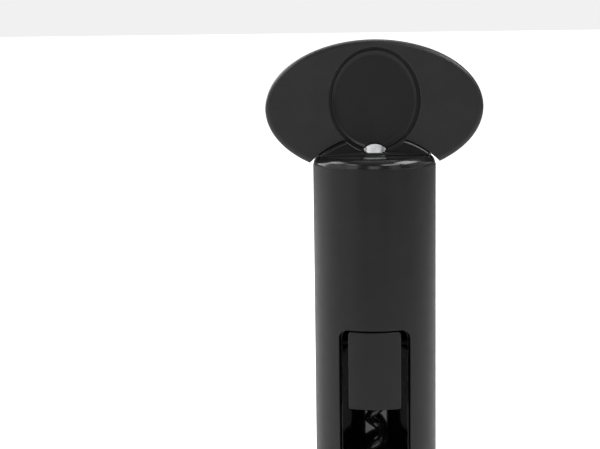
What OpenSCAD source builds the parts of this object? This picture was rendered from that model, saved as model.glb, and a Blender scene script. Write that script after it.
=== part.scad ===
// Self-pulling corkscrew. A tubular body stands on the bottle's neck, a butterfly handle turns and lifts a
// worm inside it, and a press tab in the window holds the drawn cork while the worm is unwound.
// Millimetres, +Z up, the window and the tab face -Y. The origin is at the centre of the bottom rim.

/* [Body] */
// Outer diameter of the body
body_d = 44; // [43.6:0.1:45]
// Height of the shoulder, where the top cap begins
shoulder_z = 160; // [159:0.5:164]
// Wall of the outer shell
shell_wall = 2.4; // [2.2:0.1:2.6]
// Wall of the glossy inner liner
liner_wall = 1.6; // [1.4:0.1:1.8]
// Height of the soft ring under the body
rim_h = 3; // [2.5:0.5:4]

/* [Window] */
// Width of the window in the shell
window_w = 25; // [24.4:0.2:25.4]
// Top edge of the window
window_top = 103; // [102:0.5:104]
// Bottom edge of the window
window_bottom = 40; // [39.5:0.5:44]
// Radius of the window's corners
window_r = 3.3; // [2:0.1:4]
// How far the liner's edge shows inside the window on each side
liner_lip = 0.9; // [0.7:0.1:1.1]

/* [Top cap] */
// Outer radius of the cap at the shoulder
cap_r = 21.5; // [21.2:0.1:21.6]
// Height of the cap's flat top above the shoulder
cap_h = 3.3; // [3.2:0.1:3.5]
// Radius of the rounding between the cap's side and its top
cap_round = 3; // [2.5:0.1:3.1]

/* [Handle] */
// Width of the butterfly plate
plate_w = 77.6; // [74:0.4:82]
// Height of the full ellipse that the plate is cut from
plate_h = 48.2; // [47.8:0.2:49]
// Height of the ellipse's centre
plate_z = 180; // [179.8:0.1:180.4]
// Thickness of the plate
plate_t = 9; // [8.6:0.2:10]
// Rounding of the plate's outer edge
plate_round = 2; // [1:0.1:2.4]
// Radius of the arch under the plate
arch_r = 32.5; // [32.2:0.1:32.8]
// Height of the arch's centre
arch_z = 138; // [137.8:0.1:138.2]
// Thickness of the foot, the segment that fills the arch
foot_t = 13.2; // [12.6:0.2:14]
// Height of the foot's strip under the collar's opening
bridge_h = 0.7; // [0.5:0.1:0.8]
// Rounding of the foot's curved edge
foot_round = 1.2; // [0.8:0.1:1.4]
// Turn of the handle about the spindle as it is left at rest, in degrees
rest_turn = 4; // [-10:1:10]

/* [Oval recess] */
// Width of the oval recess
oval_w = 32.4; // [31:0.2:34]
// Height of the oval recess
oval_h = 37; // [36.6:0.1:37.4]
// Height of the oval's centre
oval_z = 182.9; // [182.8:0.1:183]
// Depth of the recess in each face of the plate
oval_depth = 2.1; // [1.8:0.1:2.2]
// Width of the groove round the inlay
groove_w = 0.8; // [0.6:0.1:1]

/* [Spindle and worm] */
// Diameter of the spindle
spindle_d = 7; // [6.8:0.1:7.2]
// Diameter of the polished collar at the foot of the handle
collar_d = 8.8; // [8.6:0.1:9]
// Height of the collar's widest circle
collar_z = 164.9; // [164.8:0.1:165]
// Diameter of the worm's wire
wire_d = 3.1; // [2.8:0.1:3.2]
// Radius of the worm's centre line
worm_r = 2.65; // [2.5:0.05:2.8]
// Rise of the worm in one turn
worm_pitch = 12.4; // [12:0.1:12.6]
// Height of the worm's point
worm_tip_z = 6; // [5:1:10]
// Height of the lower end of the ferrule that joins the worm to the spindle
ferrule_z = 92; // [91:0.5:93]
// Direction from the axis at which the worm leaves the ferrule, in degrees
worm_phase = -175; // [-180:5:180]

/* [Release tab] */
// Width of the press tab
tab_w = 18.6; // [18:0.2:19]
// Lower edge of the tab
tab_bottom = 74.7; // [73.2:0.5:76.2]
// Height of the tab's hinge pin
hinge_z = 97.5; // [97:0.5:98]
// Distance of the hinge pin in front of the axis
hinge_y = 13.6; // [13.4:0.1:13.8]

/* [Bottle neck] */
// Bore that takes the bottle's neck
neck_bore = 31; // [30:0.2:32]
// Height of the seat that rests on the bottle's lip
seat_z = 36; // [34:0.5:36]
// Hole in the seat that the cork passes through
cork_hole = 25.6; // [25:0.2:27]

/* [Hidden] */
$fn = 96;

satin = "#2e2e2e";
gloss = "#161616";
matte = "#222222";
rubber = "#1b1b1b";
steel = "#b8bcc0";
chrome = "#e6e8ea";
acetal = "#262626";

eps = 0.01;
slip = 0.1;
running = 0.05;
far = 60;
fit_slip = 0.02;

body_r = body_d / 2;
bore_r = body_r - shell_wall;
liner_r = bore_r - slip;
liner_bore_r = liner_r - liner_wall;
sleeve_r = bore_r - slip;
shoulder_chamfer = 0.4;

// The deck is the shell's inner floor under the cap, which the cap and the liner are screwed to.
spigot_r = bore_r - slip;
spigot_h = 6;
deck_top = shoulder_z - spigot_h;
deck_t = 3;
deck_z = deck_top - deck_t;
deck_hole_r = 9;
liner_top = deck_z;
flange_t = 2;
cap_screw_r = 14;
cap_screw_n = 3;
screw_d = 2.6;
screw_head_d = 4.6;
screw_head_h = 1.6;
screw_grip = 4;
hex_d = 2.4;
hex_depth = 1;
pilot_d = 2.2;
boss_d = 6;
cap_screw_first = 30;

cap_top = shoulder_z + cap_h;
cap_plate_t = 3.6;
cap_skirt_t = 1.6;
washer_d = 15;
washer_t = 1.4;
washer_rise = 0.15;
washer_seat = cap_top + washer_rise - washer_t;
bush_d = 11;
bush_flange_d = 15;
bush_flange_t = 1.4;
bush_boss_r = 8;
bush_top = washer_seat;
bush_bottom = deck_top - bush_flange_t + eps;

half_t = plate_t / 2;
web_t = 3;
web_inset = 3;
web_slip = 0.08;
pocket_slip = 0.1;
edge_steps = 4;
plate_sides = 96;
recess_face = half_t - oval_depth;
foot_rise = 0.2;
foot_z = cap_top + foot_rise;
collar_r = collar_d / 2;
dome_h = 2.3;
dome_r = (collar_r * collar_r + dome_h * dome_h) / (2 * dome_h);
belly_h = 0.95;
belly_r = (collar_r * collar_r + belly_h * belly_h) / (2 * belly_h);
notch_gap = 0.45;
rod_top = collar_z - belly_h + belly_r - sqrt(belly_r * belly_r - spindle_d * spindle_d / 4);
neck_w = 4;
tang_w = 9;
tang_t = 1.8;
tang_rise = 1.4;
tang_z = collar_z + dome_h + tang_rise;
tang_top = 187;
tang_pin_z = 180;
tang_pin_d = 3;
screw_posts = [[-10, 191], [10, 191], [-10.5, 175], [10.5, 175]];
post_d = 5;
post_hole_d = 5.3;
post_sink = 0.4;
handle_screw_d = 1.7;
handle_clear_d = 2.3;
handle_head_d = 3.8;
handle_head_h = 1.1;
head_seat_d = 4.2;
head_rise = 0.2;
handle_screw_l = web_t + 0.2;
pilot_floor = 0.6;
handle_hex_d = 1.6;
handle_hex_depth = 0.7;

inlay_profile = [[0, 0], [0, 1], [0.3, 1.25], [0.6, 1.2], [1.6, 0.7]];
inlay_sides = 72;
inlay_screw_depth = 0.3;

rod_r = spindle_d / 2;
ferrule_r = 5;
ferrule_h = 12;
ferrule_top = ferrule_z + ferrule_h;
ferrule_chamfer = 0.3;
ferrule_step = 1;
ferrule_floor = 5;
ferrule_pin_d = 1.6;
ferrule_pin_drop = 4;
ferrule_pin_inset = 0.4;
bumper_inset = 0.4;
bumper_h = 2;
wire_r = wire_d / 2;
wire_socket = 4;
stem_rise = [4.6, 1.4];
taper_turns = 1.1;
point_share = 0.14;
wire_sides = 10;
rings_per_turn = 18;

tab_gap = 0.5;
head_gap = 0.1;
tab_top = window_top - tab_gap;
tab_t = 2.8;
tab_in_r = body_r - tab_t;
tab_round = 0.7;
ear_w = 3;
ear_r = 2.6;
ear_sink = 0.5;
ear_inset = 0.4;
ear_x = tab_w / 2 - ear_w;
tab_pin_d = 2;
pin_len = 25.2;
lug_w = 2;
lug_r = 2.4;
liner_half_w = window_w / 2 - liner_lip;
liner_window_h = window_top - head_gap - window_bottom - liner_lip;
pad_z = 76.5;
pad_h = 13;
pad_w = 11;
pad_back = 1.6;
pad_round = 3;
tooth_h = 3.6;
tooth_rise = 0.3;
tooth_root = 0.4;
tooth_sink = 0.2;
teeth = 4;
grip_screw_z = [3, 10];
grip_screw_d = 1.4;
grip_hole_d = 1.6;
grip_screw_l = 3.2;
grip_head_d = 2.8;
grip_head_h = 0.8;
grip_sink_d = 3.6;
grip_sink_h = 5;
spring_wire = 0.7;
spring_turns = 4;
spring_leg = 7.4;
spring_gap = 0.6;
spring_spread = 1.2;
spring_steps = 14;
spring_sides = 8;
tab_leg_lean = 3.1;
liner_leg_lean = 1.8;

rim_round = 1;
lead_h = 6;
lead_r = 2;
seat_t = 2.6;
washer_ring_t = 1.2;

// Rounded rectangle with its lower left corner at the origin, made of true arcs.
module rounded_rect(w, h, r) {
    translate([r, 0]) square([w - 2 * r, h]);
    translate([0, r]) square([w, h - 2 * r]);
    for (x = [r, w - r], z = [r, h - r]) translate([x, z]) circle(r);
}

// Stands a drawing of x and z up, and gives it a thickness from y0 to y1.
module upright(y0, y1) {
    translate([0, y1, 0]) rotate([90, 0, 0]) linear_extrude(y1 - y0) children();
}

// Closed skin over a list of rings that all have the same number of points.
module skin(rings) {
    n = len(rings[0]);
    last = len(rings) - 1;
    points = [for (ring = rings) each ring];
    sides = [for (k = [0:last - 1], i = [0:n - 1]) let (j = (i + 1) % n)
        each [[k * n + i, (k + 1) * n + j, k * n + j], [k * n + i, (k + 1) * n + i, (k + 1) * n + j]]];
    first_cap = [for (i = [0:n - 1]) i];
    last_cap = [for (i = [n - 1:-1:0]) last * n + i];
    polyhedron(points, concat([first_cap], sides, [last_cap]));
}

// Points of an ellipse in the plate's plane, drawn in x and z.
function ellipse_points(a, b, z, n) =
    [for (i = [0:n - 1]) let (t = 360 * i / n) [a * cos(t), z + b * sin(t)]];

// The same ellipse as a ring at depth y. side is -1 for the front and 1 for the rear.
function ellipse_ring(a, b, z, n, y, side) =
    [for (p = ellipse_points(a, b, z, n)) [-side * p[0], side * y, p[1]]];

module oval() {
    polygon(ellipse_points(oval_w / 2, oval_h / 2, oval_z, inlay_sides));
}

module plate_outline(inset) {
    polygon(ellipse_points(plate_w / 2 - inset, plate_h / 2 - inset, plate_z, plate_sides));
}

module body_shell() {
    color(satin) difference() {
        rotate_extrude() polygon([
            [body_r, rim_h], [body_r, shoulder_z - shoulder_chamfer], [body_r - shoulder_chamfer, shoulder_z],
            [bore_r, shoulder_z], [bore_r, deck_top], [deck_hole_r, deck_top], [deck_hole_r, deck_z],
            [bore_r, deck_z], [bore_r, rim_h]]);
        upright(-far, -body_r / 2) translate([-window_w / 2, window_bottom])
            rounded_rect(window_w, window_top - window_bottom, window_r);
        cap_screw_holes(screw_d, deck_z - eps, deck_t + 2 * eps);
    }
}

// Holes or posts on the circle of screws that clamps cap, deck and liner.
module cap_screw_holes(d, z, h) {
    for (i = [0:cap_screw_n - 1]) rotate(cap_screw_first + i * 360 / cap_screw_n)
        translate([0, cap_screw_r, z]) cylinder(d = d, h = h);
}

// Glossy tube behind the window, with a flange under the deck and two lugs for the tab's pin.
module inner_liner() {
    color(gloss) difference() {
        union() {
            difference() {
                rotate_extrude() polygon([
                    [liner_r, seat_z + seat_t + eps], [liner_r, liner_top], [deck_hole_r, liner_top],
                    [deck_hole_r, liner_top - flange_t], [liner_bore_r, liner_top - flange_t],
                    [liner_bore_r, seat_z + seat_t + eps]]);
                upright(-far, -body_r / 2) translate([-liner_half_w, window_bottom + liner_lip])
                    rounded_rect(2 * liner_half_w, liner_window_h, window_r);
            }
            intersection() {
                for (side = [-1, 1])
                    translate([side * (liner_half_w + lug_w / 2) - lug_w / 2, -hinge_y, hinge_z])
                        rotate([0, 90, 0]) cylinder(r = lug_r, h = lug_w);
                cylinder(r = liner_r, h = shoulder_z);
            }
        }
        translate([-pin_len / 2 - slip, -hinge_y, hinge_z]) rotate([0, 90, 0])
            cylinder(d = tab_pin_d, h = pin_len + 2 * slip);
        cap_screw_holes(screw_d, liner_top - flange_t - eps, flange_t + 2 * eps);
    }
}

module top_cap() {
    color(gloss) difference() {
        union() {
            rotate_extrude() difference() {
                union() {
                    translate([0, shoulder_z]) square([cap_r - cap_round, cap_h]);
                    translate([0, shoulder_z]) square([cap_r, cap_h - cap_round]);
                    intersection() {
                        translate([cap_r - cap_round, cap_top - cap_round]) circle(cap_round);
                        translate([0, shoulder_z]) square([cap_r, cap_h]);
                    }
                    translate([0, deck_top]) square([spigot_r, shoulder_z - deck_top + eps]);
                }
                translate([bush_boss_r, deck_top - eps])
                    square([spigot_r - cap_skirt_t - bush_boss_r, cap_top - cap_plate_t - deck_top + eps]);
                translate([-eps, deck_top - eps]) square([bush_d / 2 + eps, far]);
                translate([-eps, washer_seat]) square([washer_d / 2 + running + eps, far]);
                translate([-eps, deck_top - eps])
                    square([bush_flange_d / 2 + slip, bush_bottom + bush_flange_t - deck_top + eps]);
            }
            cap_screw_holes(boss_d, deck_top, cap_top - cap_plate_t - deck_top + eps);
        }
        cap_screw_holes(pilot_d, deck_top - eps, cap_top - cap_plate_t - deck_top);
    }
}

// Flanged bearing that the spindle turns and slides in.
module guide_bush() {
    color(acetal) difference() {
        union() {
            translate([0, 0, bush_bottom]) cylinder(d = bush_d, h = bush_top - bush_bottom);
            translate([0, 0, bush_bottom]) cylinder(d = bush_flange_d, h = bush_flange_t);
        }
        translate([0, 0, bush_bottom - eps]) cylinder(r = rod_r + running, h = far);
    }
}

module cap_screws() {
    head_z = liner_top - flange_t - screw_head_h;
    color(steel) for (i = [0:cap_screw_n - 1]) rotate(cap_screw_first + i * 360 / cap_screw_n)
        translate([0, cap_screw_r, head_z]) difference() {
            union() {
                cylinder(d = screw_head_d, h = screw_head_h);
                cylinder(d = pilot_d, h = screw_head_h + flange_t + deck_t + screw_grip);
            }
            translate([0, 0, -eps]) cylinder(d = hex_d, h = hex_depth, $fn = 6);
        }
}

// Liner of the mouth: guides the bottle's neck up to the seat.
module neck_sleeve() {
    color(matte) rotate_extrude() polygon([
        [sleeve_r, rim_h + eps], [sleeve_r, seat_z + seat_t], [cork_hole / 2, seat_z + seat_t],
        [cork_hole / 2, seat_z], [neck_bore / 2, seat_z], [neck_bore / 2, rim_h + lead_h],
        [neck_bore / 2 + lead_r, rim_h + eps]]);
}

module seat_washer() {
    color(rubber) translate([0, 0, seat_z - washer_ring_t]) difference() {
        cylinder(d = neck_bore - 2 * slip, h = washer_ring_t);
        translate([0, 0, -eps]) cylinder(d = cork_hole, h = washer_ring_t + 2 * eps);
    }
}

// Soft foot that the corkscrew stands on and that meets the bottle.
module rim_ring() {
    r_in = neck_bore / 2 + lead_r;
    color(rubber) rotate_extrude() {
        translate([r_in, 0]) square([body_r - rim_round - r_in, rim_h]);
        translate([r_in, rim_round]) square([body_r - r_in, rim_h - rim_round]);
        translate([body_r - rim_round, rim_round]) circle(rim_round);
    }
}

module tab_pin() {
    color(matte) translate([-pin_len / 2, -hinge_y, hinge_z]) rotate([0, 90, 0])
        cylinder(d = tab_pin_d, h = pin_len);
}

// Part of a ring at radius r about the body's axis, as wide as the tab.
module shell_slab(r_in, r_out, w, z0, z1) {
    intersection() {
        translate([0, 0, z0]) difference() {
            cylinder(r = r_out, h = z1 - z0);
            translate([0, 0, -eps]) cylinder(r = r_in, h = z1 - z0 + 2 * eps);
        }
        translate([-w / 2, -far, z0]) cube([w, far, z1 - z0]);
    }
}

// Press tab, flush with the shell, with two ears that turn on the pin.
module release_tab() {
    color(satin) difference() {
        union() {
            intersection() {
                shell_slab(tab_in_r, body_r, tab_w, tab_bottom, tab_top);
                upright(-far, 0) translate([-tab_w / 2, tab_bottom])
                    rounded_rect(tab_w, tab_top - tab_bottom, tab_round);
            }
            for (side = [-1, 1]) translate([side * (ear_x + ear_w / 2) - ear_w / 2, 0, 0]) intersection() {
                union() {
                    translate([0, -hinge_y, hinge_z]) rotate([0, 90, 0]) cylinder(r = ear_r, h = ear_w);
                    translate([0, -tab_in_r - ear_sink, hinge_z - ear_r])
                        cube([ear_w, tab_in_r + ear_sink - hinge_y, 2 * ear_r]);
                }
                translate([-side * (ear_x + ear_w / 2) + ear_w / 2, 0, 0])
                    cylinder(r = body_r - ear_inset, h = shoulder_z);
            }
        }
        translate([-far / 2, -hinge_y, hinge_z]) rotate([0, 90, 0])
            cylinder(r = tab_pin_d / 2 + running, h = far);
        for (dz = grip_screw_z) translate([0, 0, pad_z + dz]) rotate([90, 0, 0])
            cylinder(d = grip_screw_d, h = body_r - 1);
    }
}

// Toothed rubber pad on the tab's back that bites the cork.
module grip_pad() {
    tooth = pad_h / teeth;
    back = tab_in_r - pad_back;
    color(rubber) difference() {
        union() {
            intersection() {
                translate([-pad_w / 2, -tab_in_r + slip / 2, pad_z]) cube([pad_w, pad_round, pad_h]);
                cylinder(r = tab_in_r - slip / 2, h = shoulder_z);
            }
            for (i = [0:teeth - 1]) translate([-pad_w / 2, -back + tooth_sink, pad_z + i * tooth])
                rotate([90, 0, 90]) linear_extrude(pad_w)
                    polygon([[-tooth_root, 0], [tooth_h, tooth_rise], [-tooth_root, tooth]]);
        }
        for (dz = grip_screw_z) translate([0, 0, pad_z + dz]) {
            rotate([90, 0, 0]) cylinder(d = grip_hole_d, h = body_r);
            translate([0, -back, 0]) rotate([-90, 0, 0]) cylinder(d = grip_sink_d, h = grip_sink_h);
        }
    }
}

module grip_screws() {
    color(steel) for (dz = grip_screw_z) translate([0, -tab_in_r + pad_back, pad_z + dz]) rotate([90, 0, 0]) {
        cylinder(d = grip_screw_d, h = grip_screw_l);
        translate([0, 0, -grip_head_h]) cylinder(d = grip_head_d, h = grip_head_h);
    }
}

// Direction of v, one long.
function unit(v) = v / norm(v);

// Ring of a round tube about point k of a path that never runs along X.
function tube_ring(path, k, r, n) =
    let (a = path[max(k - 1, 0)], b = path[min(k + 1, len(path) - 1)], d = unit(b - a),
        e = unit([1, 0, 0] - d * d[0]), f = cross(d, e))
    [for (i = [0:n - 1]) path[k] + r * (e * cos(360 * i / n) + f * sin(360 * i / n))];

// Torsion spring round the tab's pin: one leg lies on the liner above the window, the other on the tab.
module tab_spring() {
    coil_w = spring_turns * spring_wire * spring_spread;
    coil_r = tab_pin_d / 2 + spring_gap + spring_wire / 2;
    steps = spring_turns * spring_steps;
    coil = [for (k = [0:steps]) let (t = 360 * spring_turns * k / steps)
        [coil_w * (k / steps - 0.5), -hinge_y - coil_r * cos(t), hinge_z - coil_r * sin(t)]];
    upper_leg = [-coil_w / 2, -hinge_y - coil_r - liner_leg_lean, hinge_z + spring_leg];
    lower_leg = [coil_w / 2, -hinge_y - coil_r - tab_leg_lean, hinge_z - spring_leg];
    path = concat([upper_leg], coil, [lower_leg]);
    color(steel) skin([for (k = [0:len(path) - 1]) tube_ring(path, k, spring_wire / 2, spring_sides)]);
}

module lift_washer() {
    color(acetal) translate([0, 0, washer_seat]) difference() {
        cylinder(d = washer_d, h = washer_t);
        translate([0, 0, -eps]) cylinder(r = rod_r + running, h = washer_t + 2 * eps);
    }
}

// Opening at the bottom of the oval that shows the collar.
module collar_notch(y0, y1, gap) {
    upright(y0, y1) intersection() {
        translate([0, collar_z + dome_h - dome_r]) circle(dome_r + gap);
        translate([-collar_r - gap, foot_z + bridge_h]) square([2 * (collar_r + gap), far]);
    }
}

// Middle web of the handle with the glossy foot that fills the arch.
module handle_core() {
    color(gloss) rotate(rest_turn) difference() {
        union() {
            upright(-web_t / 2, web_t / 2) intersection() {
                plate_outline(web_inset);
                translate([-far, foot_z]) square([2 * far, far]);
            }
            foot_segment();
        }
        for (side = [-1, 1]) upright(min(side * recess_face, side * far), max(side * recess_face, side * far))
            oval();
        collar_notch(-far, far, notch_gap);
        translate([0, 0, foot_z - eps]) cylinder(r = rod_r + running, h = bridge_h + 2 * eps);
        for (p = screw_posts) translate([p[0], web_t, p[1]]) rotate([90, 0, 0])
            cylinder(d = post_hole_d, h = 2 * web_t);
        tang(slip / 2);
        translate([0, web_t, tang_pin_z]) rotate([90, 0, 0]) cylinder(d = tang_pin_d, h = 2 * web_t);
    }
}

// Segment of a disc with a rounded rim, standing on the cap.
module foot_segment() {
    intersection() {
        translate([0, 0, arch_z]) rotate([90, 0, 0]) rotate_extrude() {
            translate([0, -foot_t / 2 + foot_round]) square([arch_r - slip, foot_t - 2 * foot_round]);
            translate([0, -foot_t / 2]) square([arch_r - slip - foot_round, foot_t]);
            for (s = [-1, 1]) translate([arch_r - slip - foot_round, s * (foot_t / 2 - foot_round)])
                circle(foot_round, $fn = 32);
        }
        translate([-far / 2, -far / 2, foot_z]) cube([far, far, far]);
    }
}

// One half of the plate: rounded outer edge, arch below, oval recess, and a pocket for the web.
module plate_half(side) {
    a = plate_w / 2;
    b = plate_h / 2;
    web_y = web_t / 2 + web_slip;
    rounding = [for (i = [0:edge_steps]) let (t = 90 * i / edge_steps, inset = plate_round * (1 - cos(t)))
        ellipse_ring(a - inset, b - inset, plate_z, plate_sides, half_t - plate_round * (1 - sin(t)), side)];
    difference() {
        skin(concat([ellipse_ring(a, b, plate_z, plate_sides, 0, side)], rounding));
        upright(-far, far) translate([0, arch_z]) circle(arch_r, $fn = 160);
        upright(min(side * recess_face, side * far), max(side * recess_face, side * far)) oval();
        upright(min(side * web_y, -side), max(side * web_y, -side))
            plate_outline(web_inset - pocket_slip);
        collar_notch(-far, far, notch_gap);
    }
}

// Screws run in from the rear recess, through the rear half, and into posts on the front half.
module handle_front() {
    color(satin) rotate(rest_turn) difference() {
        union() {
            plate_half(-1);
            for (p = screw_posts) translate([p[0], web_t / 2, p[1]]) rotate([90, 0, 0])
                cylinder(d = post_d, h = web_t + post_sink);
        }
        for (p = screw_posts) translate([p[0], far, p[1]]) rotate([90, 0, 0])
            cylinder(d = handle_screw_d, h = far + recess_face - pilot_floor);
    }
}

module handle_rear() {
    color(satin) rotate(rest_turn) difference() {
        plate_half(1);
        for (p = screw_posts) translate([p[0], far, p[1]]) rotate([90, 0, 0]) {
            cylinder(d = handle_clear_d, h = far);
            cylinder(d = head_seat_d, h = far - recess_face + handle_head_h - head_rise);
        }
    }
}

// Shallow oval dish that lies in the recess, with a groove left round it.
module inlay(side) {
    a = oval_w / 2 - groove_w;
    b = oval_h / 2 - groove_w;
    difference() {
        skin([for (p = inlay_profile)
            ellipse_ring(a - p[0], b - p[0], oval_z, inlay_sides, recess_face + p[1], side)]);
        collar_notch(-far, far, notch_gap);
    }
}

module inlay_front() {
    color(matte) rotate(rest_turn) inlay(-1);
}

module inlay_rear() {
    color(matte) rotate(rest_turn) difference() {
        inlay(1);
        for (p = screw_posts) translate([p[0], recess_face + inlay_screw_depth, p[1]]) rotate([90, 0, 0])
            cylinder(d = head_seat_d, h = 1);
    }
}

module handle_screws() {
    color(steel) rotate(rest_turn) for (p = screw_posts) translate([p[0], recess_face + head_rise, p[1]])
        rotate([90, 0, 0]) difference() {
            union() {
                cylinder(d = handle_head_d, h = handle_head_h);
                cylinder(d = handle_screw_d, h = handle_head_h + handle_screw_l);
            }
            translate([0, 0, -eps]) cylinder(d = handle_hex_d, h = handle_hex_depth, $fn = 6);
        }
}

// Round spindle with a flat tang that the handle is moulded on.
module spindle() {
    color(steel) rotate(rest_turn) difference() {
        union() {
            translate([0, 0, ferrule_z + ferrule_floor])
                cylinder(r = rod_r, h = rod_top - ferrule_z - ferrule_floor);
            tang(0);
        }
        translate([0, web_t, tang_pin_z]) rotate([90, 0, 0]) cylinder(d = tang_pin_d, h = 2 * web_t);
        translate([-far / 2, 0, ferrule_top - ferrule_pin_drop]) rotate([0, 90, 0])
            cylinder(d = ferrule_pin_d, h = far);
    }
}

// Polished lens-shaped collar between the cap and the handle.
module spindle_collar() {
    color(chrome) difference() {
        intersection() {
            translate([0, 0, collar_z + dome_h - dome_r]) sphere(dome_r);
            translate([0, 0, collar_z - belly_h + belly_r]) sphere(belly_r, $fn = 160);
        }
        translate([0, 0, deck_top]) cylinder(r = rod_r, h = rod_top - deck_top);
        rotate(rest_turn) tang(slip / 2);
    }
}

// Flat end of the spindle: a narrow neck through the collar and a wide blade inside the handle.
module tang(gap) {
    t = tang_t + 2 * gap;
    translate([-neck_w / 2 - gap, -t / 2, rod_top - eps])
        cube([neck_w + 2 * gap, t, tang_z - rod_top + 2 * eps]);
    translate([-tang_w / 2 - gap, -t / 2, tang_z - gap])
        cube([tang_w + 2 * gap, t, tang_top - tang_z + 2 * gap]);
}

module tang_pin() {
    color(steel) rotate(rest_turn) translate([0, web_t / 2, tang_pin_z]) rotate([90, 0, 0])
        cylinder(d = tang_pin_d, h = web_t);
}

// Socket that holds the end of the spindle above and the worm's wire below.
module worm_ferrule() {
    color(matte) difference() {
        union() {
            translate([0, 0, ferrule_z + ferrule_step]) cylinder(r = ferrule_r, h = ferrule_h - ferrule_step);
            translate([0, 0, ferrule_z]) cylinder(r = ferrule_r - ferrule_chamfer, h = ferrule_step + eps);
        }
        translate([0, 0, ferrule_z + ferrule_floor]) cylinder(r = rod_r + fit_slip, h = far);
        rotate(worm_phase) translate([worm_r, 0, ferrule_z - eps])
            cylinder(r = wire_r + slip, h = wire_socket);
        rotate(rest_turn) translate([-far / 2, 0, ferrule_top - ferrule_pin_drop]) rotate([0, 90, 0])
            cylinder(d = ferrule_pin_d, h = far);
    }
}

module ferrule_pin() {
    pin_r = ferrule_r - ferrule_pin_inset;
    color(steel) rotate(rest_turn) translate([-pin_r, 0, ferrule_top - ferrule_pin_drop])
        rotate([0, 90, 0]) cylinder(d = ferrule_pin_d, h = 2 * pin_r);
}

// Soft washer on the ferrule that cushions the end of the lift.
module stop_bumper() {
    color(rubber) translate([0, 0, ferrule_top]) difference() {
        cylinder(r = ferrule_r - bumper_inset, h = bumper_h);
        translate([0, 0, -eps]) cylinder(r = rod_r, h = bumper_h + 2 * eps);
    }
}

// The wire goes straight down out of the ferrule, then winds to a point that tapers over the last turn.
module worm() {
    top_z = ferrule_z - 1;
    total = (top_z - worm_tip_z) / worm_pitch;
    count = ceil(total * rings_per_turn);
    turns = [for (k = [0:count]) total * k / count];
    stem = [for (h = stem_rise) [worm_r * cos(worm_phase), worm_r * sin(worm_phase), top_z + h]];
    coil = [for (u = turns) let (t = worm_phase - 360 * u)
        [worm_r * cos(t), worm_r * sin(t), top_z - u * worm_pitch]];
    tapered = [for (u = turns) let (k = min(1, (total - u) / taper_turns))
        wire_r * (point_share + (1 - point_share) * sqrt(k))];
    path = concat(stem, coil);
    radii = concat([for (h = stem_rise) wire_r], tapered);
    color(gloss) skin([for (k = [0:len(path) - 1]) tube_ring(path, k, radii[k], wire_sides)]);
}

body_shell();
inner_liner();
top_cap();
guide_bush();
cap_screws();
neck_sleeve();
seat_washer();
rim_ring();
tab_pin();
tab_spring();
release_tab();
grip_pad();
grip_screws();
lift_washer();
handle_core();
handle_front();
handle_rear();
inlay_front();
inlay_rear();
handle_screws();
spindle();
spindle_collar();
tang_pin();
worm_ferrule();
ferrule_pin();
stop_bumper();
worm();
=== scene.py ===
"""Looks of a self-pulling corkscrew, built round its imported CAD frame.

Lengths are in millimetres until a mesh is made, and the meshes are in metres, in the frame's own place.
"""

import math

import bmesh
import bpy
from mathutils import Matrix, Vector


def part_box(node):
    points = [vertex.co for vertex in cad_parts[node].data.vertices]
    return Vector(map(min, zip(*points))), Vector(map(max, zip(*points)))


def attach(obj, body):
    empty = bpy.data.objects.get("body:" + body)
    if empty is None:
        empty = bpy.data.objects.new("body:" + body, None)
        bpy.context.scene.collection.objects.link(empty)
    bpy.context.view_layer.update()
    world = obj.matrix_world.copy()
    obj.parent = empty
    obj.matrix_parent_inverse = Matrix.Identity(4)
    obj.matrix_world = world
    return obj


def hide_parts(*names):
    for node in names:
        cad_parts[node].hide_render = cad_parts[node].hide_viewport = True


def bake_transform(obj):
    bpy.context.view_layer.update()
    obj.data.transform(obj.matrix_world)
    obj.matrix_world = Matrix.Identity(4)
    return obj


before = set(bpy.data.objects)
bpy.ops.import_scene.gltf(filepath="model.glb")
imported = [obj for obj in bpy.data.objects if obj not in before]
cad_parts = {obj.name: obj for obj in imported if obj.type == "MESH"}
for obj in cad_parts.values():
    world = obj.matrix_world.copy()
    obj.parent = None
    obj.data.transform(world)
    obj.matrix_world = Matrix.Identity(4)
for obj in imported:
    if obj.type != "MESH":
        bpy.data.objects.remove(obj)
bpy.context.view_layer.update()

MM = 0.001


def hi(node):
    """Highest corner of a CAD node, in millimetres."""
    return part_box(node)[1] / MM


def lo(node):
    """Lowest corner of a CAD node, in millimetres."""
    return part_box(node)[0] / MM


# Sizes that the frame gives.
BODY_R = hi("body_shell").x
SHOULDER_Z = hi("body_shell").z
RIM_Z = hi("rim_ring").z
CAP_TOP = hi("top_cap").z
LINER_TOP = hi("inner_liner").z
LINER_FOOT = lo("inner_liner").z
TAB_TOP = hi("release_tab").z
TAB_FOOT = lo("release_tab").z
TAB_HALF_W = hi("release_tab").x
WASHER_TOP = hi("lift_washer").z
FERRULE_Z = lo("worm_ferrule").z
FERRULE_TOP = hi("worm_ferrule").z
FOOT_HALF_T = 6.6
PLATE_B = 24.1
PLATE_A = 38.8
PLATE_Z = hi("handle_front").z - PLATE_B

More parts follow.
